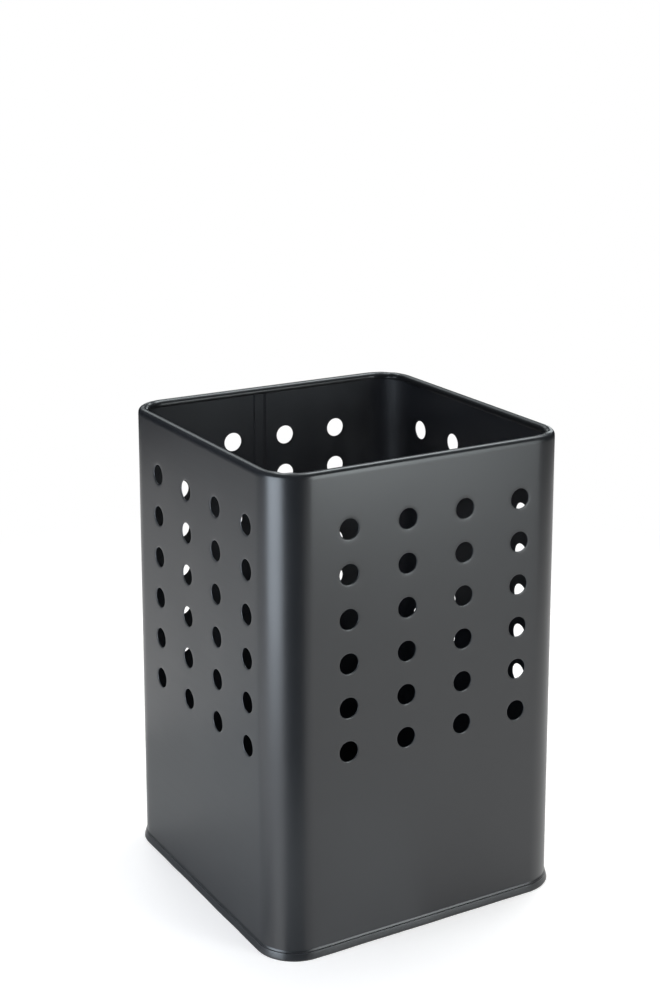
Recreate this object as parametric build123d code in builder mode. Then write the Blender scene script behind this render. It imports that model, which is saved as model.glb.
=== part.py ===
"""Square perforated sheet-metal canister that stands on a counter and holds tall kitchen tools.

Two pieces, made as a tin can is made. The body shell is one punched sheet, bent into a square tube,
closed by a lock seam inside the back wall and curled inward at the rim. The base pan closes the
bottom, and its edge is rolled round the shell's turned-out foot as a double seam.

Millimetres, +Z up. The origin is at the middle of the face it stands on. The front wall faces -Y.
"""

import os
from math import sqrt

from build123d import *

os.makedirs("parts", exist_ok=True)

# Overall form, measured on the outside of the walls
body_width = 118.0
overall_height = 172.0
corner_radius = 14.0

# Sheet metal, and the lacquer-filled gap between layers that are folded onto each other
sheet = 0.30
layer_gap = 0.02
hook_end_gap = 0.30

# Rolled rim: outside diameter of the curl, and how far the sheet turns, in degrees
rim_diameter = 3.6
rim_turn = 205.0

# Punched holes: their spacing, and the plain sheet left beside the corners and above the foot
hole_diameter = 7.5
column_pitch = 23.0
row_pitch = 15.7
top_row_drop = 21.1
grid_shift = 3.0
hole_corner_margin = 3.5
hole_free_height = 65.0
hole_edge_radius = 0.15

# Double seam at the foot, and the base panel inside it, with the inside radius of each bend
foot_seam_height = 2.6
foot_bend = 0.20
panel_recess = 3.6
panel_bend = 0.50
panel_ledge = 4.0
panel_step = 0.80

# Lock seam inside the back wall, stopping short of the base panel and of the start of the curl
lock_seam_width = 3.6
lock_seam_base_margin = 2.0
lock_seam_curl_margin = 0.5

# The folded layers lie one pitch apart, and a fold that holds one layer has this bend radius
layer_pitch = sheet + layer_gap

# Middle of each upright layer at the foot, as a depth inward from the outside of the wall
wall_depth = sheet / 2
base_hook_depth = wall_depth - layer_pitch
body_hook_depth = wall_depth - 2 * layer_pitch
skirt_depth = wall_depth - 3 * layer_pitch
chuck_depth = wall_depth + layer_pitch

straight_length = body_width - 2 * corner_radius
half_width = body_width / 2
half_straight = straight_length / 2


def front_section(along):
    """Upright plane across the front wall: x is the depth inward, y is the height."""
    return Plane(origin=(along, -half_width, 0), x_dir=(0, 1, 0), z_dir=(1, 0, 0))


def wall_and_corner(section):
    """Carry a section along the front wall and round the corner at its +X end."""
    with BuildSketch(front_section(-half_straight)) as wall_start:
        add(section)
    extrude(wall_start.sketch, amount=straight_length)
    with BuildSketch(front_section(half_straight)) as corner_start:
        add(section)
    corner_axis = Axis((half_straight, -half_straight, 0), (0, 0, 1))
    revolve(corner_start.sketch, axis=corner_axis, revolution_arc=90)


# Section of the shell: hook at the foot, wall, and curl at the rim
with BuildSketch() as shell_section:
    with BuildLine():
        body_hook = Line(
            (body_hook_depth, foot_seam_height - sheet - hook_end_gap),
            (body_hook_depth, 2 * layer_pitch + sheet / 2),
        )
        foot_fold = JernArc(body_hook @ 1, body_hook % 1, layer_pitch, 180)
        wall = Line(foot_fold @ 1, (wall_depth, overall_height - rim_diameter / 2))
        JernArc(wall @ 1, wall % 1, (rim_diameter - sheet) / 2, -rim_turn)
    trace(line_width=sheet)

# The holes stand in as many columns as fit, in pairs either side of the grid's middle, and in as
# many rows as fit. All four grids are shifted the same way round from the middle of their walls.
hole_radius = hole_diameter / 2
column_reach = half_straight - hole_corner_margin - hole_radius - grid_shift
hole_columns = 2 * int(column_reach / column_pitch + 1 / 2)
row_reach = overall_height - top_row_drop - hole_radius - hole_free_height
hole_rows = 1 + int(row_reach / row_pitch)
hole_grid_middle = overall_height - top_row_drop - (hole_rows - 1) * row_pitch / 2
hole_plane = Plane(
    origin=(grid_shift, -half_width, hole_grid_middle),
    x_dir=(1, 0, 0),
    z_dir=(0, -1, 0),
)

# One quarter of the shell: the front wall with its holes, and the corner beside it
with BuildPart() as shell_quarter:
    wall_and_corner(shell_section.sketch)
    with Locations(hole_plane):
        with GridLocations(column_pitch, row_pitch, hole_columns, hole_rows):
            Hole(hole_radius, depth=sheet)
    pierced_faces = faces().filter_by(lambda face: len(face.inner_wires()) > 0)
    outer_rims = pierced_faces.sort_by(Axis.Y)[0].inner_wires().edges()
    fillet(outer_rims, min(hole_edge_radius, sheet / 2))

# Layers of the lock seam, as depths inward from the outside of the back wall
outer_main_depth = wall_depth
inner_hook_depth = wall_depth + layer_pitch
outer_hook_depth = wall_depth + 2 * layer_pitch
inner_main_depth = wall_depth + 3 * layer_pitch

# The inner edge steps inward at 45 degrees, one layer clear of the outer edge's fold
lock_end = lock_seam_width / 2
step_bend = 2 * layer_pitch
step_inner_end = lock_end + step_bend * (sqrt(2) - 1)
step_outer_end = step_inner_end + inner_main_depth - outer_main_depth
slot_end = step_outer_end + step_bend
lock_seam_bottom = panel_recess + sheet + lock_seam_base_margin
lock_seam_top = overall_height - rim_diameter / 2 - lock_seam_curl_margin
lock_seam_height = lock_seam_top - lock_seam_bottom
lock_plane = Plane(
    origin=(-grid_shift, half_width, lock_seam_bottom),
    x_dir=(-1, 0, 0),
    z_dir=(0, 0, 1),
)

# The shell: four quarters, with the lock seam in place of a strip of the back wall
with BuildPart() as body_shell:
    with PolarLocations(0, 4):
        add(shell_quarter.part)
    with BuildSketch(lock_plane):
        with Locations(((lock_end - slot_end) / 2, wall_depth)):
            Rectangle(lock_end + slot_end, sheet)
    extrude(amount=lock_seam_height, mode=Mode.SUBTRACT)
    with BuildSketch(lock_plane):
        with BuildLine():
            outer_main = Line((lock_end, outer_main_depth), (-lock_end, outer_main_depth))
            outer_fold = JernArc(outer_main @ 1, outer_main % 1, layer_pitch, -180)
            Line(outer_fold @ 1, (lock_end - hook_end_gap, outer_hook_depth))
        trace(line_width=sheet)
        with BuildLine():
            inner_main = FilletPolyline(
                (-slot_end, outer_main_depth),
                (-step_outer_end, outer_main_depth),
                (-step_inner_end, inner_main_depth),
                (lock_end, inner_main_depth),
                radius=step_bend,
            )
            inner_fold = JernArc(inner_main @ 1, inner_main % 1, layer_pitch, -180)
            Line(inner_fold @ 1, (hook_end_gap - lock_end, inner_hook_depth))
        trace(line_width=sheet)
    extrude(amount=lock_seam_height)

body_shell.part.label = "body_shell"
export_step(body_shell.part, "parts/body_shell.step")

# Section of the base pan: hook, skirt, standing face, wall inside the shell, ledge and raised panel
foot_radius = foot_bend + sheet / 2
panel_radius = panel_bend + sheet / 2
ledge_height = panel_recess + sheet / 2
panel_height = ledge_height + panel_step
ledge_end = chuck_depth + panel_radius + panel_ledge
panel_start = ledge_end + panel_step + panel_radius
with BuildSketch() as base_section:
    with BuildLine():
        base_hook = Line(
            (base_hook_depth, layer_pitch + sheet + hook_end_gap),
            (base_hook_depth, foot_seam_height - layer_pitch - sheet / 2),
        )
        seam_top = JernArc(base_hook @ 1, base_hook % 1, layer_pitch, 180)
        FilletPolyline(
            seam_top @ 1,
            (skirt_depth, sheet / 2),
            (chuck_depth, sheet / 2),
            (chuck_depth, ledge_height),
            (ledge_end, ledge_height),
            (ledge_end + panel_step, panel_height),
            (panel_start, panel_height),
            radius=[foot_radius, foot_radius, panel_radius, panel_radius, panel_radius],
        )
    trace(line_width=sheet)

# The base pan: the section carried round four sides, and the flat panel that it closes
with BuildPart() as base_quarter:
    wall_and_corner(base_section.sketch)

with BuildPart() as base_pan:
    with PolarLocations(0, 4):
        add(base_quarter.part)
    with BuildSketch(Plane.XY.offset(panel_height - sheet / 2)):
        panel_width = body_width - 2 * panel_start
        RectangleRounded(panel_width, panel_width, corner_radius - panel_start)
    extrude(amount=sheet)

base_pan.part.label = "base_pan"
export_step(base_pan.part, "parts/base_pan.step")
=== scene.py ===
"""Looks of the square punched holder: folded sheet metal under satin black lacquer.

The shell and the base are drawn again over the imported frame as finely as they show: rolled-in hole
lips, a wall that flares over the foot seam and leans in below the rolled rim, gathers at the rim's
corners, the joggle of the lock seam, and walls that bow in. The holder stands on a white table among
softboxes and drapes.
Metres, +Z up, the front wall faces -Y, and the table is at z = 0.
"""

import itertools
import math

import bpy
import numpy as np
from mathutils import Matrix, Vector


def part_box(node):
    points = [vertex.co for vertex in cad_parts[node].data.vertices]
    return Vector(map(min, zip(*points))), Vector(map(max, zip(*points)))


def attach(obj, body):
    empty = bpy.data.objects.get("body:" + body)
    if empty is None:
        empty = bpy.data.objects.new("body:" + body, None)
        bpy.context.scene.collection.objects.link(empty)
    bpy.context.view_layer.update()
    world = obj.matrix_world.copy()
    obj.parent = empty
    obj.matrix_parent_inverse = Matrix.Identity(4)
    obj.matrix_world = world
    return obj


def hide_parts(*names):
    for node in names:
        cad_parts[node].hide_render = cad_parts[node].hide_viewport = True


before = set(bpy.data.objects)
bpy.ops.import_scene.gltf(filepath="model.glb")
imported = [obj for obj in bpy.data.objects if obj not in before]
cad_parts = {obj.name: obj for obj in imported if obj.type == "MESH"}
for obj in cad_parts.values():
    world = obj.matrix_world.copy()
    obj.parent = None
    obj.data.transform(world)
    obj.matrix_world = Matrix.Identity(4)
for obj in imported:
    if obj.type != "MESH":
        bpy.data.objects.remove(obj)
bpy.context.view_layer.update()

MM = 0.001
QUARTER = 90
WALLS = 4
OUTSIDE, INSIDE = 0, 1

# Sheet metal, and the folded layers one pitch apart
SHEET = 0.30 * MM
LAYER_GAP = 0.02 * MM
LAYER_PITCH = SHEET + LAYER_GAP
FOLD_STEPS = 10
BEND_STEPS = 6
SHARP_ANGLE = 50

# Overall form, measured on the outside of the walls
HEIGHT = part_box("body_shell")[1].z
SEAM_REACH = 3 * LAYER_PITCH
HALF_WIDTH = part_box("base_pan")[1].x - SEAM_REACH
CORNER_RADIUS = 14.0 * MM
HALF_STRAIGHT = HALF_WIDTH - CORNER_RADIUS
QUARTER_ROUND = 2 * HALF_STRAIGHT + CORNER_RADIUS * math.radians(QUARTER)
CORNER_STEPS = 24

# Middle of the sheet as a depth inward from the outside of the wall: the wall, the base inside it,
# and the top of the skirt a little way outside it
SKIRT_GAP = 0.05 * MM
WALL_DEPTH = SHEET / 2
CHUCK_DEPTH = WALL_DEPTH + LAYER_PITCH
SKIRT_TOP_DEPTH = WALL_DEPTH - SHEET - SKIRT_GAP

# Seam at the foot: the skirt leans in towards its top, and grips the shell's turned-out flange
SEAM_HEIGHT = 2.6 * MM
SKIRT_LEANS = (19, 14)
FLANGE_REACH = 0.50 * MM
FLANGE_HEIGHT = LAYER_PITCH + SHEET / 2

# Flare of the wall over the top of the skirt, from just below that top
FLARE_DROP = 0.05 * MM
FLARE_START = SEAM_HEIGHT - FLARE_DROP
FLARE_BEND = 0.28 * MM
FLARE_WRAP = 72
FLARE_ROUND = 0.16 * MM
FLARE_LEAN = 28
FLARE_EASE = 0.6 * MM

# Base panel inside the seam, with bends measured at the middle of the sheet
FOOT_BEND = 0.35 * MM
PANEL_RECESS = 3.6 * MM
PANEL_BEND = 0.65 * MM
PANEL_LEDGE = 4.0 * MM
PANEL_STEP = 0.80 * MM
PANEL_SLOPE = 45
PANEL_DOME = 0.35 * MM
PANEL_RINGS = 8
BASE_STEPS = 48

# Rolled rim: the wall leans in below the curl, and the curl is gathered a little round the corners
RIM_DIAMETER = 3.6 * MM
RIM_BEND = (RIM_DIAMETER - SHEET) / 2
RIM_TURN = 205
RIM_STEPS = 36
RIM_LEAN = 7
RIM_EASE = 8.0 * MM
RIM_LEAN_SINE = math.sin(math.radians(RIM_LEAN))
RIM_START = HEIGHT - SHEET / 2 - RIM_BEND * (1 - RIM_LEAN_SINE) - RIM_EASE * RIM_LEAN_SINE
RIM_GATHER = 0.22 * MM
RIM_GATHERS = 3

# Punched holes: the grid, the square patch of wall round each, and the lip that the punch rolled in.
# Lacquer that gathers on the punched edge narrows each hole a little.
HOLE_DIAMETER = 7.5 * MM
LACQUER_BUILD = 0.11 * MM
HOLE_RADIUS = HOLE_DIAMETER / 2 - LACQUER_BUILD
HOLE_COLUMNS = 4
HOLE_ROWS = 6
COLUMN_PITCH = 23.0 * MM
ROW_PITCH = 15.7 * MM
TOP_ROW_DROP = 21.1 * MM
GRID_SHIFT = 3.0 * MM
COLUMNS = GRID_SHIFT + COLUMN_PITCH * (np.arange(HOLE_COLUMNS) - (HOLE_COLUMNS - 1) / 2)
ROWS = HEIGHT - TOP_ROW_DROP - ROW_PITCH * np.arange(HOLE_ROWS)[::-1]
PATCH_HALF = 6.0 * MM
PATCH_STEPS = 12
PATCH_FIRST_CORNER = -135
PATCH_SLACK = 0.01 * MM
GAP_STEPS = 3
PLAIN_STEPS = 12
LIP_WIDTH = 0.38 * MM
LIP_DEPTH = 0.20 * MM
LIP_STEPS = 8
BURR_WIDTH = 0.10 * MM
BURR_DEPTH = 0.03 * MM
BURR_STEPS = 2
DISH_DEPTH = 0.06 * MM
DISH_REACH = 1.6 * MM
DISH_STEPS = 4

# Lock seam inside the back wall, pressed flat and running up under the rim
BACK_WALL = 2
LOCK_END = 1.8 * MM
LOCK_SLOPE = 15
LOCK_BEND = 2 * LAYER_PITCH
LOCK_RISE = 1.2 * LAYER_PITCH
LOCK_BASE_MARGIN = 2.0 * MM
LOCK_BOTTOM = PANEL_RECESS + SHEET + LOCK_BASE_MARGIN
LOCK_TOP = RIM_START
LOCK_FADE = 0.4 * MM
LOCK_DROP = 0.01 * MM

# Unevenness of thin sheet: walls bow in, ripple slightly, and the foot seam wanders
BOW = 0.20 * MM
RIPPLE = 0.05 * MM
RIPPLE_LENGTHS = (52 * MM, 61 * MM)
FOOT_WANDER = 0.035 * MM
FOOT_WAVES = (9, 14, 23)
FOOT_REACH = 7.0 * MM
SWAY_SEED = 7
rng = np.random.default_rng(SWAY_SEED)
ripple_phases = rng.uniform(0, 2 * math.pi, (WALLS, 2))
foot_phases = rng.uniform(0, 2 * math.pi, len(FOOT_WAVES))

# Black lacquer: clouding, rolling grain, fine skin and stray dust
WHITE = (1, 1, 1, 1)
OUTSIDE_SHADES = ((0.0100, 0.0104, 0.0118, 1), (0.0130, 0.0135, 0.0150, 1))
# The inside is the same lacquer painted lighter and bluer than outside: painted light on the shaded inside.
INSIDE_LIGHTENED_SHADES = ((0.0190, 0.0202, 0.0250, 1), (0.0250, 0.0264, 0.0318, 1))
OUTSIDE_ROUGHNESS = 0.33
INSIDE_ROUGHNESS = 0.42
LACQUER_IOR = 1.5
NOISE_MIDDLE = 0.5
RUBBED = (0.040, 0.041, 0.045, 1)
DUST = (0.16, 0.16, 0.155, 1)
CLOUD_SIZE = 38 * MM
CLOUD_DETAIL = 4
GRAIN_LENGTH = 45 * MM
GRAIN_WIDTH = 0.9 * MM
GRAIN_DETAIL = 3
SKIN_SIZE = 0.55 * MM
SKIN_DETAIL = 2
SKIN_SHARE = 0.5
SKIN_DEPTH = 0.02 * MM
SKIN_STRENGTH = 0.10
MOTE_SPACING = 9 * MM
MOTE_SIZE = 0.03
MOTE_SHARE = 0.28
CLOUD_ROUGHNESS = 0.10
GRAIN_ROUGHNESS = 0.04
MOTE_ROUGHNESS = 0.3
RUBBED_GLOSS = 0.06
RUBBED_REACH = 0.25

# White table and surround
AMBIENT = 0.25
TABLE_COLOUR = (0.75, 0.71, 0.69, 1)
TABLE_GLOW = 0.44
TABLE_HALF = 6.0
TABLE_FADE = (0.24, 0.44)

# Drapes that only the lacquer reflects: a dark dome round the table with a hem on its far part, and
# flat runners on the table. A dark and a dim one, where the front left corner mirrors them, are a painted
# shadow of the holder on the table; a lit one there and another ahead of the front wall glow as painted
# pools of light on the table; a pale and a grey one beside the left wall are painted shade on the table.
# Dark cloth of the dome, also the colour of the painted shadow in the dark runner.
DRAPE_AND_SHADOW_COLOUR = (0.01, 0.01, 0.01, 1)
DRAPE_STEP = 4
DRAPE_RADIUS = 1.6
DRAPE_LIFT = 0.5 * MM
DRAPE_START = 0.62
RUNNER_GAP = 2 * MM
DARK_SIDES = (-42, -14)
DARK_START = 128 * MM
# Dim runner: painted shadow on the table, lighter near the corner.
DIM_SHADOW_COLOUR = (0.67, 0.67, 0.67, 1)
# Lit runners: cloth with a glow, painted pools of light on the table that the lacquer reflects.
PAINTED_LIGHT_COLOUR = (0.72, 0.72, 0.72, 1)
LIT_SIDES = (-59, -44)
LIT_STOP = 106 * MM
PAINTED_LIGHT_GLOW = 1.15
FRONT_ENDS = (-45 * MM, 0 * MM)
FRONT_HEADING = 30
FRONT_LENGTH = 110 * MM
FRONT_PAINTED_LIGHT_GLOW = 0.72
# Pale and grey runners: cloth darker than the glowing table, painted shade on the table beside the left
# wall.
PALE_SHADE_COLOUR = (0.79, 0.765, 0.745, 1)
PALE_ENDS = (-45 * MM, 140 * MM)
PALE_WIDTH = 65 * MM
GREY_SHADE_COLOUR = (0.60, 0.60, 0.60, 1)
GREY_ENDS = (-10 * MM, 110 * MM)
GREY_HEADING = -150
GREY_LENGTH = 500 * MM

# Softboxes: azimuth from the front, height, distance along the table, width and height of the lamp,
# radiance and colour. The left and front ones light the walls, the others the rim and the inside.
LAMP_COLOUR = (0.91, 0.98, 1.0)
COOL_COLOUR = (0.79, 0.89, 1.0)
SOFTBOXES = {
    "left_softbox": (-75, 0.115, 0.36, (0.225, 0.24), 8.7, COOL_COLOUR),
    "front_softbox": (24, 0.185, 0.50, (0.16, 0.29), 8.9, LAMP_COLOUR),
    "top_softbox": (112, 1.00, 0.53, (0.45, 0.45), 8.0, LAMP_COLOUR),
    "side_softbox": (128, 0.35, 0.80, (0.25, 0.25), 3.0, LAMP_COLOUR),
    "back_softbox": (166, 0.65, 0.90, (0.45, 0.40), 1.45, LAMP_COLOUR),
    "corner_softbox": (168, 1.10, 0.55, (0.34, 0.34), 9.0, LAMP_COLOUR),
    "ceiling_softbox": (0, 1.30, 0.0, (1.0, 1.0), 0.5, LAMP_COLOUR),
}

# Camera: three-quarter view from the front left, a little above the rim
CAMERA_PLACE = (-0.3207, -0.5452, 0.3326)
CAMERA_HEADING = (-30.09, 11.474)
CAMERA_SENSOR = 36.0
CAMERA_LENS = 64.606
CAMERA_SHIFT = -0.17


def place(wall, along, turn, depth, height):
    """Points at a depth inward from the outside of a wall, or of the corner that it turns into."""
    reach = CORNER_RADIUS - depth
    x = np.where(turn > 0, HALF_STRAIGHT + reach * np.sin(turn), along)
    y = np.where(turn > 0, CORNER_RADIUS - reach * np.cos(turn), depth) - HALF_WIDTH
    spin = wall * math.radians(QUARTER)
    across = x * np.cos(spin) - y * np.sin(spin)
    back = x * np.sin(spin) + y * np.cos(spin)
    return np.stack(np.broadcast_arrays(across, back, height), axis=-1)


def sway(wall, along, turn, height):
    """How far the thin sheet lies inward of its true place."""
    flat = np.where(turn > 0, 0, np.cos(math.pi * along / (2 * HALF_STRAIGHT)) ** 2)
    upright = np.sin(math.pi * np.clip(height / HEIGHT, 0, 1))
    first, second = ripple_phases[wall, 0], ripple_phases[wall, 1]
    ripple = np.sin(2 * math.pi * along / RIPPLE_LENGTHS[0] + first)
    ripple = ripple * np.sin(2 * math.pi * height / RIPPLE_LENGTHS[1] + second)
    bow = flat * upright * (BOW + RIPPLE * ripple)
    travel = wall * QUARTER_ROUND + HALF_STRAIGHT + along + CORNER_RADIUS * turn
    round_share = travel / (WALLS * QUARTER_ROUND)
    wander = sum(
        np.sin(2 * math.pi * waves * round_share + phase)
        for waves, phase in zip(FOOT_WAVES, foot_phases)
    )
    return bow + FOOT_WANDER * wander * np.exp(-height / FOOT_REACH)


def ladder(start, rungs):
    """Values from a start through (stop, steps) pairs, each stretch cut into that many steps."""
    values = [start]
    for stop, steps in rungs:
        values += list(np.linspace(values[-1], stop, steps + 1)[1:])
    return np.array(values)


def smooth_step(low, high, value):
    """A soft rise from 0 to 1 between two values."""
    share = np.clip((value - low) / (high - low), 0, 1)
    return share * share * (3 - 2 * share)


class SheetStrip:
    """Edge view of a bent sheet: its middle line, drawn by running straight and turning."""

    def __init__(self, start, heading):
        self.points = [np.array(start)]
        self.headings = [math.radians(heading)]

    def advance(self, length, turn):
        bearing = self.headings[-1] + turn / 2
        step = np.array((math.cos(bearing), math.sin(bearing)))
        self.points.append(self.points[-1] + length * step)
        self.headings.append(self.headings[-1] + turn)

    def straight(self, *lengths):
        for length in lengths:
            self.advance(length, 0)

    def bend(self, radius, degrees, steps):
        """Turn left, or right by negative degrees, on an arc of this middle radius."""
        turn = math.radians(degrees) / steps
        for _ in range(steps):
            self.advance(2 * radius * math.sin(abs(turn) / 2), turn)

    def last(self):
        return len(self.points) - 1

    def sides(self):
        """Points on the sheet's left and right faces."""
        headings = np.array(self.headings)
        left = np.stack((-np.sin(headings), np.cos(headings)), axis=1) * SHEET / 2
        return self.points + left, self.points - left


class Round:
    """Stations round the holder: each wall from left to right as seen from outside, then its corner."""

    def __init__(self, walls):
        corner = np.radians(np.linspace(0, QUARTER, CORNER_STEPS + 1)[:-1])
        self.wall = np.concatenate(
            [np.full(len(along) + len(corner), number) for number, along in enumerate(walls)]
        )[:, None]
        self.along = np.concatenate(
            [np.append(along, np.full(len(corner), HALF_STRAIGHT)) for along in walls]
        )[:, None]
        self.turn = np.concatenate([np.append(0 * along, corner) for along in walls])[:, None]

    def loft(self, section, shift=0):
        """A section carried round every station, shifted in depth and swayed with the sheet."""
        depth, height = section[..., 0] + shift, section[..., 1]
        depth = depth + sway(self.wall, self.along, self.turn, height)
        return place(self.wall, self.along, self.turn, depth, height)


class Skin:
    """Points and faces of one piece, and how much each point stands proud and gets rubbed."""

    def __init__(self):
        self.points = np.zeros((0, 3))
        self.rub = np.zeros(0)
        self.faces = []
        self.finishes = []

    def add(self, points, rub):
        first = len(self.points)
        self.points = np.concatenate((self.points, points.reshape(-1, 3)))
        self.rub = np.append(self.rub, np.broadcast_to(rub, points.shape[:-1]))
        return np.arange(first, len(self.points)).reshape(points.shape[:-1])

    def weave(self, index, keep, finish):
        """Quads over a net of points that closes on itself both ways, where keep is true."""
        beside, above = np.roll(index, -1, axis=0), np.roll(index, -1, axis=1)
        quads = np.stack((index, beside, np.roll(beside, -1, axis=1), above), axis=-1)
        self.faces += list(quads[keep])
        self.finishes += list(np.broadcast_to(finish, index.shape)[keep])

    def weave_band(self, index, finish):
        """Quads over rings of points, open from the last ring to the first."""
        keep = np.ones(index.shape, bool)
        keep[:, -1] = False
        self.weave(index, keep, finish)

    def cap(self, edge, finish):
        self.faces.append(edge)
        self.finishes.append(finish)

    def piece(self, name, finishes):
        """The finished object, without the points that no face uses."""
        used = np.unique(np.concatenate(self.faces))
        renumber = np.zeros(len(self.points), int)
        renumber[used] = np.arange(len(used))
        mesh = bpy.data.meshes.new(name)
        mesh.from_pydata(self.points[used].tolist(), [], [renumber[face].tolist() for face in self.faces])
        mesh.attributes.new("rub", "FLOAT", "POINT").data.foreach_set("value", self.rub[used])
        for finish in finishes:
            mesh.materials.append(finish)
        mesh.polygons.foreach_set("material_index", self.finishes)
        mesh.shade_smooth()
        mesh.set_sharp_from_angle(angle=math.radians(SHARP_ANGLE))
        piece = bpy.data.objects.new(name, mesh)
        bpy.context.scene.collection.objects.link(piece)
        return piece


def lock_profile():
    """Stations across the lock seam, and how far its outside and its inside lie inward there."""
    slope = math.radians(LOCK_SLOPE)
    tangent = LOCK_BEND * math.tan(slope / 2)
    ramp_run = LOCK_RISE / math.tan(slope)
    step = SheetStrip((-LOCK_END - ramp_run - LOCK_BEND, WALL_DEPTH), 0)
    step.straight(LOCK_BEND - tangent)
    step.bend(LOCK_BEND, LOCK_SLOPE, FOLD_STEPS // 2)
    step.straight(LOCK_RISE / math.sin(slope) - 2 * tangent)
    step.bend(LOCK_BEND, -LOCK_SLOPE, FOLD_STEPS // 2)
    step.straight(LOCK_END - step.points[-1][0])
    step.bend(LAYER_PITCH, -QUARTER, FOLD_STEPS // 2)
    inner, notch = step.sides()
    fold = SheetStrip((LOCK_END, WALL_DEPTH), 2 * QUARTER)
    fold.straight(2 * LOCK_END)
    fold.bend(LAYER_PITCH, -QUARTER, FOLD_STEPS // 2)
    outer = fold.sides()[0][::-1]
    notch = notch[notch[:, 0] < outer[0, 0]]
    outside = np.concatenate((notch, outer))
    inside = np.append(inner, [(inner[-1, 0] + LOCK_DROP, SHEET)], axis=0)
    spacing = LOCK_DROP / 2
    stations = np.unique(np.round(np.concatenate((outside, inside))[:, 0] / spacing)) * spacing
    return (
        stations,
        np.interp(stations, *outside.T, left=0, right=0),
        np.interp(stations, *inside.T, left=SHEET, right=SHEET) - SHEET,
    )


def lip_rings():
    """Rings over the lip of a hole, from the outside to the inside: growth in radius, depth, rub."""
    outer_dish = np.linspace(DISH_REACH, LIP_WIDTH, DISH_STEPS, endpoint=False)
    inner_dish = np.linspace(DISH_REACH, BURR_WIDTH, DISH_STEPS, endpoint=False)[::-1]
    rings = [(grow, 0, 0) for grow in outer_dish]
    for swing in np.linspace(0, math.radians(QUARTER), LIP_STEPS + 1):
        sine, drop = math.sin(swing), 1 - math.cos(swing)
        rings.append((LIP_WIDTH * (1 - sine), LIP_DEPTH * drop, sine))
    for swing in np.linspace(math.radians(QUARTER), 0, BURR_STEPS + 1):
        sine, drop = math.sin(swing), 1 - math.cos(swing)
        rings.append((BURR_WIDTH * (1 - sine), SHEET - BURR_DEPTH * drop, sine))
    rings += [(grow, SHEET, 0) for grow in inner_dish]
    grow, depth, rub = np.array(rings).T
    return grow, depth + DISH_DEPTH * (1 - grow / DISH_REACH) ** 2, rub


def wall_stations(between=()):
    """Places along a wall, with finer steps across the holes and extra stops in the middle gap."""
    rungs = []
    for number, middle in enumerate(COLUMNS):
        if number == len(COLUMNS) // 2:
            rungs += [(stop, 1) for stop in between]
        rungs += [(middle - PATCH_HALF, GAP_STEPS), (middle + PATCH_HALF, PATCH_STEPS)]
    return ladder(-HALF_STRAIGHT, [*rungs, (HALF_STRAIGHT, 1)])[:-1]


def wall_levels(flare_top):
    """Heights up a wall, with finer steps across the holes and at the ends of the lock seam."""
    rungs = [(LOCK_BOTTOM, GAP_STEPS), (LOCK_BOTTOM + LOCK_FADE, GAP_STEPS)]
    rungs.append((LOCK_BOTTOM + 2 * LOCK_FADE, 1))
    for row in ROWS:
        below = PLAIN_STEPS if row == ROWS[0] else GAP_STEPS
        rungs += [(row - PATCH_HALF, below), (row + PATCH_HALF, PATCH_STEPS)]
    rungs += [(LOCK_TOP - 2 * LOCK_FADE, GAP_STEPS), (LOCK_TOP - LOCK_FADE, 1)]
    return ladder(flare_top, [*rungs, (RIM_START, GAP_STEPS)])


def shell_strip():
    """Edge view of the wrapper: flange, flare, wall and curl, and where its wall and its curl begin."""
    strip = SheetStrip((WALL_DEPTH - FLANGE_REACH, FLANGE_HEIGHT), 0)
    strip.straight(FLANGE_REACH - LAYER_PITCH)
    strip.bend(LAYER_PITCH, QUARTER, FOLD_STEPS)
    strip.straight(FLARE_START - strip.points[-1][1])
    strip.bend(FLARE_BEND, FLARE_WRAP, FOLD_STEPS)
    strip.bend(FLARE_ROUND, -FLARE_WRAP - FLARE_LEAN, FOLD_STEPS)
    lean = math.radians(FLARE_LEAN)
    ease = FLARE_EASE * (1 - math.cos(lean))
    strip.straight((WALL_DEPTH - strip.points[-1][0] - ease) / math.sin(lean))
    strip.bend(FLARE_EASE, FLARE_LEAN, BEND_STEPS)
    foot = strip.last()
    strip.straight(*np.diff(wall_levels(strip.points[-1][1])))
    strip.bend(RIM_EASE, -RIM_LEAN, BEND_STEPS)
    curl = strip.last()
    strip.bend(RIM_BEND, RIM_LEAN - RIM_TURN, RIM_STEPS)
    return strip, foot, curl


def rim_swell(curl_turn, corner_share):
    """How the curl is gathered round a corner, as shifts in depth and height of its edge view."""
    waves = np.sin(math.pi * corner_share) ** 2 * np.cos(2 * math.pi * RIM_GATHERS * corner_share)
    facing_in = np.sin(np.clip(curl_turn - math.radians(QUARTER) / 2, 0, math.pi)) ** 2
    outward = np.stack((-np.cos(curl_turn), np.sin(curl_turn)), axis=-1)
    return RIM_GATHER * (waves * facing_in)[..., None] * outward


def lock_share(stations, height, foot, curl):
    """Where the lock seam shows: 1 along it in the back wall, fading out at its two ends."""
    fade = smooth_step(LOCK_BOTTOM, LOCK_BOTTOM + LOCK_FADE, height)
    fade = fade * (1 - smooth_step(LOCK_TOP - LOCK_FADE, LOCK_TOP, height))
    fade[:foot] = fade[curl:] = 0
    return fade * ((stations.wall == BACK_WALL) & (stations.turn == 0))


def in_patch(places, middle):
    """Which places lie in the square patch round the middle of a hole, its edges included."""
    return abs(places - middle) < PATCH_HALF + PATCH_SLACK


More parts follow.
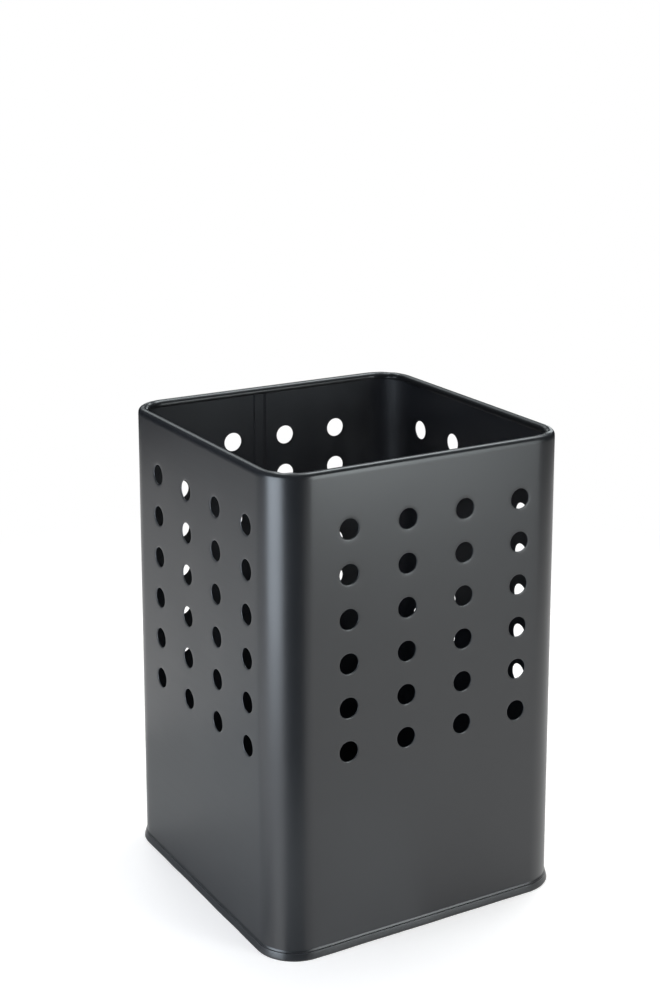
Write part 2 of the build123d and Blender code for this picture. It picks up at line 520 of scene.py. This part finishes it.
def punch(skin, index, keep, side, up, wall, column, row):
    """Cut a hole: a patch of both faces gives way to rings that run over the lip and through."""
    edges = []
    for net_up in (up, index.shape[1] - 1 - up):
        keep[np.ix_(side[:-1], np.sort(net_up)[:-1])] = False
        net = index[np.ix_(side, net_up)]
        edge = (net[:-1, 0], net[-1, :-1], net[:0:-1, -1], net[0, :0:-1])
        edges.append(np.concatenate(edge)[:, None])
    grow, depth, rub = lip_rings()
    angles = np.linspace(0, 4 * QUARTER, 4 * PATCH_STEPS, endpoint=False)
    angles = np.radians(PATCH_FIRST_CORNER + angles)[:, None]
    along = column + (HOLE_RADIUS + grow) * np.cos(angles)
    rise = row + (HOLE_RADIUS + grow) * np.sin(angles)
    inward = depth + sway(wall, along, 0, rise)
    rings = skin.add(place(wall, along, np.zeros(1), inward, rise), rub)
    rings = np.concatenate((edges[0], rings, edges[1]), axis=1)
    through = np.arange(rings.shape[1]) > DISH_STEPS + LIP_STEPS
    skin.weave_band(rings, np.where(through, INSIDE, OUTSIDE))


def punched_shell(finishes):
    """The wrapper: flanged foot, punched walls, lock seam and inward-rolled rim."""
    strip, foot, curl = shell_strip()
    outer, inner = strip.sides()
    count = len(outer)
    height = np.array(strip.points)[:, 1]

    lock_along, lock_notch, lock_ridge = lock_profile()
    plain, seamed = wall_stations(), wall_stations(GRID_SHIFT + lock_along)
    stations = Round([seamed if wall == BACK_WALL else plain for wall in range(WALLS)])
    lock = lock_share(stations, height, foot, curl)
    notch = np.interp(stations.along - GRID_SHIFT, lock_along, lock_notch) * lock
    ridge = np.interp(stations.along - GRID_SHIFT, lock_along, lock_ridge) * lock

    curl_turn = np.zeros(count)
    curl_turn[curl:] = np.radians(np.linspace(RIM_LEAN, RIM_TURN, count - curl))
    swell = rim_swell(curl_turn, stations.turn / math.radians(QUARTER))
    rim_rub = np.clip(np.sin(curl_turn), 0, 1) ** 2

    skin = Skin()
    faces = (stations.loft(outer + swell, notch), stations.loft(inner + swell, ridge)[:, ::-1])
    index = skin.add(np.concatenate(faces, axis=1), np.append(rim_rub, 0 * rim_rub))
    keep = np.ones(index.shape, bool)
    for wall, column, row in itertools.product(range(WALLS), COLUMNS, ROWS):
        on_wall = (stations.wall[:, 0] == wall) & (stations.turn[:, 0] == 0)
        side = np.flatnonzero(on_wall & in_patch(stations.along[:, 0], column))
        up = np.flatnonzero(in_patch(height, row))
        punch(skin, index, keep, side, up, wall, column, row)
    skin.weave(index, keep, np.where(np.arange(2 * count) < count, OUTSIDE, INSIDE))
    return skin.piece("punched_shell", finishes)


def base_strip():
    """Edge view of the base: skirt, standing face, wall inside the shell, ledge and raised panel."""
    slope_tangent = PANEL_BEND * math.tan(math.radians(PANEL_SLOPE) / 2)
    top_lean, foot_lean = SKIRT_LEANS
    top_sine, foot_sine = np.sin(np.radians(SKIRT_LEANS))
    skirt_drop = SEAM_HEIGHT - SHEET / 2 - FOOT_BEND * (1 + foot_sine)
    strip = SheetStrip((SKIRT_TOP_DEPTH, SEAM_HEIGHT), -QUARTER - top_lean)
    strip.bend(skirt_drop / (top_sine - foot_sine), top_lean - foot_lean, BEND_STEPS)
    strip.bend(FOOT_BEND, QUARTER + foot_lean, BEND_STEPS)
    strip.straight(CHUCK_DEPTH - FOOT_BEND - strip.points[-1][0])
    strip.bend(FOOT_BEND, QUARTER, BEND_STEPS)
    strip.straight(PANEL_RECESS - FOOT_BEND - PANEL_BEND)
    strip.bend(PANEL_BEND, -QUARTER, BEND_STEPS)
    strip.straight(PANEL_LEDGE - slope_tangent)
    strip.bend(PANEL_BEND, PANEL_SLOPE, BEND_STEPS)
    strip.straight(PANEL_STEP * math.sqrt(2) - 2 * slope_tangent)
    strip.bend(PANEL_BEND, -PANEL_SLOPE, BEND_STEPS)
    strip.straight(PANEL_BEND - slope_tangent)
    return strip


def seamed_base(finishes):
    """The base: skirt round the shell's flange, standing face, and the stepped panel."""
    top, under = base_strip().sides()
    count = len(top)

    skin = Skin()
    stations = Round([ladder(-HALF_STRAIGHT, [(HALF_STRAIGHT, BASE_STEPS)])[:-1]] * WALLS)
    loop = np.concatenate((stations.loft(top), stations.loft(under)[:, ::-1]), axis=1)
    rub = np.zeros(2 * count)
    rub[-1] = 1
    index = skin.add(loop, rub)
    keep = np.ones(index.shape, bool)
    keep[:, count - 1] = False
    skin.weave(index, keep, np.where(np.arange(2 * count) < count, INSIDE, OUTSIDE))
    shrink = np.linspace(1, 0, PANEL_RINGS, endpoint=False)[1:, None]
    for rim, order, finish in ((count - 1, 1, INSIDE), (count, -1, OUTSIDE)):
        rings = np.repeat(loop[:, rim, None], len(shrink), axis=1)
        rings[..., :2] *= shrink
        rings[..., 2] += PANEL_DOME * (1 - shrink[:, 0] ** 2)
        rings = np.append(index[:, rim, None], skin.add(rings, 0), axis=1)
        skin.weave_band(rings[::order], finish)
        skin.cap(rings[::order, -1], finish)
    return skin.piece("seamed_base", finishes)


class Value:
    """A value in a finish's node tree. Python's operators on it add Math nodes."""

    def __init__(self, finish, socket):
        self.finish = finish
        self.socket = socket

    def math(self, operation, *others):
        return self.finish.node("ShaderNodeMath", {"operation": operation}, [self, *others])["Value"]

    def __add__(self, other):
        return self.math("ADD", other)

    __radd__ = __add__

    def __mul__(self, other):
        return self.math("MULTIPLY", other)

    __rmul__ = __mul__

    def __sub__(self, other):
        return self.math("SUBTRACT", other)

    def __rsub__(self, other):
        return (self * -1) + other

    def __gt__(self, other):
        return self.math("GREATER_THAN", other)

    def __lt__(self, other):
        return self.math("LESS_THAN", other)

    def clamped(self):
        return self.finish.node("ShaderNodeClamp", {}, {"Value": self})["Result"]


class Finish:
    """A material or world whose nodes are added one call at a time."""

    def __init__(self, owner):
        owner.use_nodes = True
        self.owner = owner
        self.tree = owner.node_tree
        self.tree.nodes.clear()

    def node(self, kind, settings, sockets):
        """Add a node: its settings first, then values or links by socket name or in order."""
        made = self.tree.nodes.new(kind)
        for name, setting in settings.items():
            setattr(made, name, setting)
        live = [socket for socket in made.inputs if socket.enabled]
        named = sockets.items() if isinstance(sockets, dict) else enumerate(sockets)
        for key, given in named:
            socket = live[key] if isinstance(key, int) else next(s for s in live if s.name == key)
            if isinstance(given, Value):
                self.tree.links.new(given.socket, socket)
            else:
                socket.default_value = given
        return {socket.name: Value(self, socket) for socket in made.outputs if socket.enabled}

    def noise(self, spot, size, detail):
        sockets = {"Vector": spot, "Scale": 1 / size, "Detail": detail}
        return self.node("ShaderNodeTexNoise", {}, sockets)["Fac"]

    def blend(self, share, first, second):
        sockets = {"Factor": share, "A": first, "B": second}
        return self.node("ShaderNodeMix", {"data_type": "RGBA"}, sockets)["Result"]


def lacquer(name, shades, roughness):
    """Satin black lacquer over rolled tinplate: soft clouding, a fine skin, rubbed edges, stray dust."""
    paint = Finish(bpy.data.materials.new(name))
    spot = paint.node("ShaderNodeTexCoord", {}, {})["Object"]
    cloud = paint.noise(spot, CLOUD_SIZE, CLOUD_DETAIL)
    stretch = (1 / GRAIN_LENGTH, 1 / GRAIN_LENGTH, 1 / GRAIN_WIDTH)
    rolled = paint.node("ShaderNodeMapping", {}, {"Vector": spot, "Scale": stretch})["Vector"]
    grain = paint.noise(rolled, 1, GRAIN_DETAIL)
    peel = paint.noise(spot, SKIN_SIZE, SKIN_DETAIL)
    motes = paint.node("ShaderNodeTexVoronoi", {}, {"Vector": spot, "Scale": 1 / MOTE_SPACING})
    pick = paint.node("ShaderNodeSeparateColor", {}, {"Color": motes["Color"]})
    mote = (motes["Distance"] < pick["Green"] * MOTE_SIZE) * (pick["Red"] < MOTE_SHARE)
    rub = paint.node("ShaderNodeAttribute", {"attribute_name": "rub"}, {})["Fac"]
    worn = (rub * (cloud + RUBBED_REACH)).clamped()
    shade = paint.blend(cloud, *shades)
    shade = paint.blend(worn, shade, RUBBED)
    shade = paint.blend(mote, shade, DUST)
    uneven = (cloud - NOISE_MIDDLE) * CLOUD_ROUGHNESS + (grain - NOISE_MIDDLE) * GRAIN_ROUGHNESS
    skin = paint.node(
        "ShaderNodeBump",
        {},
        {"Strength": SKIN_STRENGTH, "Distance": SKIN_DEPTH, "Height": peel * SKIN_SHARE + grain},
    )["Normal"]
    surface = paint.node(
        "ShaderNodeBsdfPrincipled",
        {},
        {
            "Base Color": shade,
            "Roughness": uneven + mote * MOTE_ROUGHNESS - worn * RUBBED_GLOSS + roughness,
            "Normal": skin,
            "IOR": LACQUER_IOR,
        },
    )["BSDF"]
    paint.node("ShaderNodeOutputMaterial", {}, {"Surface": surface})
    return paint.owner


def seen_directly(finish):
    """1 for rays that look at the surroundings directly or in a reflection, 0 for rays that light."""
    path = finish.node("ShaderNodeLightPath", {}, {})
    return (path["Is Camera Ray"] + path["Is Glossy Ray"] + path["Is Transmission Ray"]).clamped()


def stage_piece(name, points, faces, finish):
    mesh = bpy.data.meshes.new(name)
    mesh.from_pydata(points, [], faces)
    mesh.materials.append(finish.owner)
    piece = bpy.data.objects.new(name, mesh)
    bpy.context.scene.collection.objects.link(piece)
    return piece


def heading(azimuth, elevation=0):
    """Direction from the holder: azimuth 0 is to the front, 90 to the right, elevation is upward."""
    turn, rise = math.radians(azimuth), math.radians(elevation)
    return Vector((math.sin(turn) * math.cos(rise), -math.cos(turn) * math.cos(rise), math.sin(rise)))


def white_table():
    """White table that takes the holder's shadow near it and fades into the white surround."""
    table = Finish(bpy.data.materials.new("white_table"))
    spot = table.node("ShaderNodeTexCoord", {}, {})["Object"]
    reach = table.node("ShaderNodeVectorMath", {"operation": "LENGTH"}, [spot])["Value"]
    far = table.node(
        "ShaderNodeMapRange",
        {"interpolation_type": "SMOOTHSTEP"},
        {"Value": reach, "From Min": TABLE_FADE[0], "From Max": TABLE_FADE[1]},
    )["Result"]
    seen = seen_directly(table)
    matt = table.node("ShaderNodeBsdfDiffuse", {}, {"Color": TABLE_COLOUR})["BSDF"]
    glow = table.node("ShaderNodeEmission", {}, {"Color": WHITE, "Strength": seen * TABLE_GLOW})["Emission"]
    near_surface = table.node("ShaderNodeAddShader", {}, [matt, glow])["Shader"]
    far_surface = table.node("ShaderNodeEmission", {}, {"Color": WHITE, "Strength": seen})["Emission"]
    surface = table.node("ShaderNodeMixShader", {}, [far, near_surface, far_surface])["Shader"]
    table.node("ShaderNodeOutputMaterial", {}, {"Surface": surface})
    corners = [(x * TABLE_HALF, y * TABLE_HALF, 0) for x, y in ((-1, -1), (1, -1), (1, 1), (-1, 1))]
    stage_piece("table", corners, [(0, 1, 2, 3)], table)


def white_surround():
    """World that looks white and lights the holder softly."""
    surround = Finish(bpy.context.scene.world or bpy.data.worlds.new("surround"))
    bpy.context.scene.world = surround.owner
    strength = seen_directly(surround) * (1 - AMBIENT) + AMBIENT
    sky = surround.node("ShaderNodeBackground", {}, {"Color": WHITE, "Strength": strength})["Background"]
    surround.node("ShaderNodeOutputWorld", {}, {"Surface": sky})


def drape(name, points, faces, colour, glow=0):
    """Matt cloth that only the lacquer reflects; where it glows, the glow is painted light."""
    weave = Finish(bpy.data.materials.new(name))
    matt = weave.node("ShaderNodeBsdfDiffuse", {}, {"Color": colour})["BSDF"]
    lit = weave.node("ShaderNodeEmission", {}, {"Color": WHITE, "Strength": glow})["Emission"]
    surface = weave.node("ShaderNodeAddShader", {}, [matt, lit])["Shader"]
    weave.node("ShaderNodeOutputMaterial", {}, {"Surface": surface})
    cloth = stage_piece(name, points, faces, weave)
    cloth.location.z = DRAPE_LIFT
    cloth.visible_camera = cloth.visible_diffuse = False
    cloth.visible_transmission = cloth.visible_shadow = False


def runner(name, near, headings, length, colour, glow=0):
    """Flat cloth on the table, from its two near corners along a heading of each."""
    far = [corner + heading(way) * length for corner, way in zip(near, headings)]
    drape(name, [*near, *far[::-1]], [(0, 1, 2, 3)], colour, glow)


def corner_runner(name, sides, start, stop, colour, glow=0):
    """Runner that the front left corner shows to the camera between two sides of its bend."""
    middle = Vector((-HALF_STRAIGHT, -HALF_STRAIGHT, 0))
    headings = [2 * side - CAMERA_HEADING[0] for side in sides]
    bend = [middle + CORNER_RADIUS * heading(side) for side in sides]
    near = [spot + start * heading(way) for spot, way in zip(bend, headings)]
    runner(name, near, headings, stop - start, colour, glow)


def drapes():
    """The dome round the table with its hem, and the runners: painted shadow, shade and light on the table.
    """
    sides = range(-2 * QUARTER, 2 * QUARTER, DRAPE_STEP)
    points = []
    for side in sides:
        points.append(heading(side) * DRAPE_START)
        points += [heading(side, rise) * DRAPE_RADIUS for rise in range(0, QUARTER, DRAPE_STEP)]
    ring = len(points) // len(sides)
    faces = []
    for low in range(len(points)):
        if (low + 1) % ring:
            across = (low + ring) % len(points)
            faces.append((low, across, across + 1, low + 1))
    drape("dome_drape", points, faces, DRAPE_AND_SHADOW_COLOUR)

    # Painted shadow of the holder on the table, as the front left corner reflects it: dark far out, dim
    # near.
    corner_runner("painted_shadow_runner", DARK_SIDES, DARK_START, DRAPE_RADIUS, DRAPE_AND_SHADOW_COLOUR)
    corner_runner("painted_dim_shadow_runner", DARK_SIDES, RUNNER_GAP, DARK_START, DIM_SHADOW_COLOUR)
    # Glowing runners: painted light on the table for the corner and the front wall to reflect.
    corner_runner("painted_light_runner", LIT_SIDES, RUNNER_GAP, LIT_STOP, PAINTED_LIGHT_COLOUR, PAINTED_LIGHT_GLOW)
    ahead = [Vector((end, -HALF_WIDTH - RUNNER_GAP, 0)) for end in FRONT_ENDS]
    runner("front_painted_light_runner", ahead, [FRONT_HEADING] * 2, FRONT_LENGTH, PAINTED_LIGHT_COLOUR, FRONT_PAINTED_LIGHT_GLOW)
    # Painted shade on the table beside the left wall, for the left wall to reflect.
    beside = [Vector((-HALF_WIDTH, end, 0)) for end in PALE_ENDS]
    runner("pale_shade_runner", beside, [-QUARTER] * 2, PALE_WIDTH, PALE_SHADE_COLOUR)
    beyond = [Vector((-HALF_WIDTH - PALE_WIDTH, end, 0)) for end in GREY_ENDS]
    runner("grey_shade_runner", beyond, [GREY_HEADING] * 2, GREY_LENGTH, GREY_SHADE_COLOUR)


def softbox(name, azimuth, height, distance, size, radiance, colour):
    """A rectangular lamp that faces the holder from a distance along the table."""
    lamp = bpy.data.lights.new(name, "AREA")
    lamp.shape = "RECTANGLE"
    lamp.size, lamp.size_y = size
    lamp.color = colour
    lamp.energy = radiance * math.pi * lamp.size * lamp.size_y
    box = bpy.data.objects.new(name, lamp)
    bpy.context.scene.collection.objects.link(box)
    box.location = distance * heading(azimuth) + Vector((0, 0, height))
    aim = Vector((0, 0, min(height, HEIGHT))) - box.location
    box.rotation_euler = aim.to_track_quat("-Z", "Y").to_euler()
    box.visible_camera = False


def camera():
    eye = bpy.data.cameras.new("camera")
    eye.lens = CAMERA_LENS
    eye.sensor_width = CAMERA_SENSOR
    eye.shift_y = CAMERA_SHIFT
    rig = bpy.data.objects.new("camera", eye)
    bpy.context.scene.collection.objects.link(rig)
    rig.location = CAMERA_PLACE
    rig.rotation_euler = (-heading(*CAMERA_HEADING)).to_track_quat("-Z", "Y").to_euler()
    bpy.context.scene.camera = rig


bpy.context.scene.view_settings.view_transform = "Standard"
finishes = (
    lacquer("satin_lacquer", OUTSIDE_SHADES, OUTSIDE_ROUGHNESS),
    # Inside copy of the lacquer, painted lighter and bluer: painted light on the shaded inside.
    lacquer("inside_lacquer_painted_lighter", INSIDE_LIGHTENED_SHADES, INSIDE_ROUGHNESS),
)
for piece, node in ((punched_shell(finishes), "body_shell"), (seamed_base(finishes), "base_pan")):
    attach(piece, "root")
    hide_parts(node)

white_table()
white_surround()
drapes()
for name, values in SOFTBOXES.items():
    softbox(name, *values)
camera()
